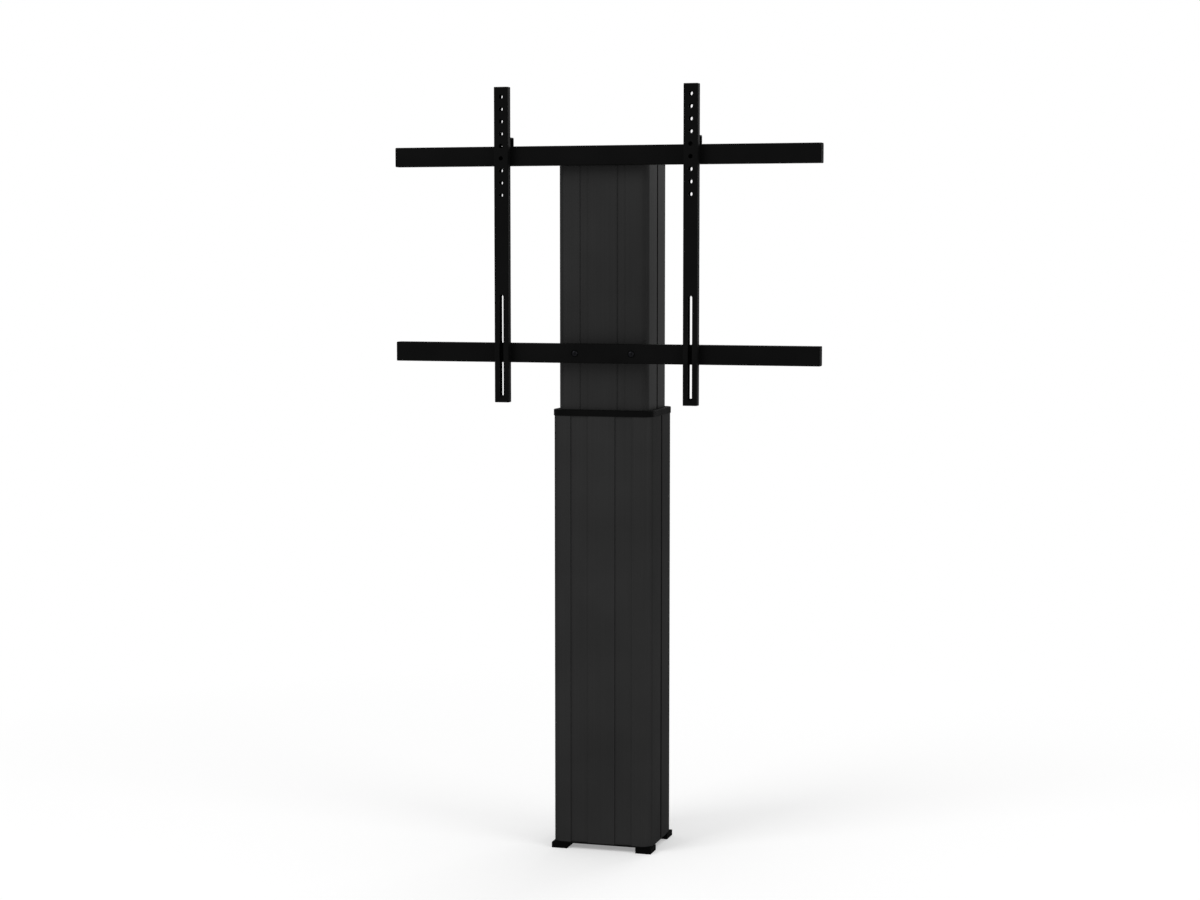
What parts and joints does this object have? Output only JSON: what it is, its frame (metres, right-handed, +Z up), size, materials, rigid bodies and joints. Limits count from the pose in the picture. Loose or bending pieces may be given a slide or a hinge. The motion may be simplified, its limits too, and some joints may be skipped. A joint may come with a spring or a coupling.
{
  "type": "tv lift mechanism",
  "caption": "Floor standing electric television lift: telescoping column with crossbars and two perforated screen arms.",
  "frame": {"origin": "on the floor, in the middle of the outer box of the whole lift as pictured", "axes": "+X along the crossbars to the viewer's right, +Y from the screen back to the wall, +Z up"},
  "size_m": [0.9, 0.2222, 1.5835],
  "materials": {
    "column_anodised": "black anodised, satin",
    "inner_anodised": "black anodised, satin",
    "collar_plastic": "moulded black, fine grain",
    "plate_painted": "black powder coat",
    "foot_rubber": "moulded black",
    "head_painted": "black powder coat over a casting",
    "bar_painted": "black powder coat, satin",
    "arm_painted": "black powder coat, satin",
    "plug_plastic": "moulded black",
    "screw_zinc": "zinc plated",
    "screw_black": "black oxide",
    "spacer_aluminium": "black anodised bar",
    "spindle_steel": "ground",
    "bearing_steel": "polished",
    "gear_plastic": "natural acetal",
    "case_aluminium": "die cast",
    "motor_painted": "black paint",
    "tube_steel": "grey paint",
    "tube_aluminium": "natural anodised",
    "nut_brass": "turned",
    "rod_end_steel": "zinc plated",
    "box_plastic": "moulded black",
    "glide_plastic": "natural acetal"
  },
  "bodies": {
    "base": {"outer_column": "column_anodised", "column_collar": "collar_plastic", "base_plate": "plate_painted", "feet": "foot_rubber", "base_corner_screws": "screw_zinc", "bearing_outer_races": "bearing_steel", "gear_case_base": "case_aluminium", "gear_case_cover": "case_aluminium", "gear_case_screws": "screw_zinc", "motor_body": "motor_painted", "motor_screws": "screw_zinc", "actuator_tube": "tube_steel", "actuator_bush": "gear_plastic", "control_box": "box_plastic", "control_box_lid": "box_plastic", "power_inlet": "box_plastic", "power_inlet_pins": "nut_brass", "power_inlet_screws": "screw_black", "upper_glides": "glide_plastic"},
    "lift": {"inner_column": "inner_anodised", "head_casting": "head_painted", "head_screws": "screw_black", "upper_bar": "bar_painted", "upper_bar_inserts": "screw_zinc", "upper_bar_bolts": "screw_zinc", "upper_bar_spacer": "spacer_aluminium", "lower_bar": "bar_painted", "lower_bar_sleeves": "screw_zinc", "lower_bar_bolts": "screw_black", "lower_bar_nuts": "screw_zinc", "lower_bar_spacer": "spacer_aluminium", "spacer_screws": "screw_black", "drive_nut": "nut_brass", "push_tube": "tube_aluminium", "rod_end": "rod_end_steel", "cross_bracket": "plate_painted", "cross_bracket_screws": "screw_black", "clevis_pin": "spindle_steel", "lower_glides": "glide_plastic", "upper_bar_plugs": "plug_plastic", "lower_bar_plugs": "plug_plastic"},
    "spindle_body": {"spindle": "spindle_steel", "spindle_gear": "gear_plastic", "spindle_guide_ring": "gear_plastic", "bearing_inner_races": "bearing_steel"},
    "motor_rotor": {"motor_shaft": "spindle_steel", "motor_pinion": "bearing_steel"},
    "left_arm_body": {"left_arm": "arm_painted", "left_arm_plugs": "plug_plastic", "left_arm_hook": "arm_painted", "left_level_screw": "screw_zinc", "left_lock_screw": "screw_black"},
    "right_arm_body": {"right_arm": "arm_painted", "right_arm_plugs": "plug_plastic", "right_arm_hook": "arm_painted", "right_level_screw": "screw_zinc", "right_lock_screw": "screw_black"}
  },
  "joints": [
    {"name": "lift_slide", "type": "slide", "parent": "base", "child": "lift", "axis": [0, 0, 1], "range_m": [-0.09, 0.56]},
    {"name": "spindle_turn", "type": "hinge", "parent": "base", "child": "spindle_body", "pos_m": [-0.0115, 0.02315, 0.06], "axis": [0, 0, 1], "range_deg": [-4060, 25210]},
    {"name": "motor_turn", "type": "hinge", "parent": "base", "child": "motor_rotor", "pos_m": [0.0465, 0.02315, 0.06], "axis": [0, 0, 1], "range_deg": [-79210, 12738.6]},
    {"name": "left_arm_slide", "type": "slide", "parent": "lift", "child": "left_arm_body", "axis": [1, 0, 0], "range_m": [-0.2, 0.08]},
    {"name": "right_arm_slide", "type": "slide", "parent": "lift", "child": "right_arm_body", "axis": [1, 0, 0], "range_m": [-0.08, 0.2]}
  ],
  "couplings": [
    {"joint": "spindle_turn", "follows": "lift_slide", "rad_per_m": 785.4},
    {"joint": "motor_turn", "follows": "lift_slide", "rad_per_m": -2468.4}
  ]
}
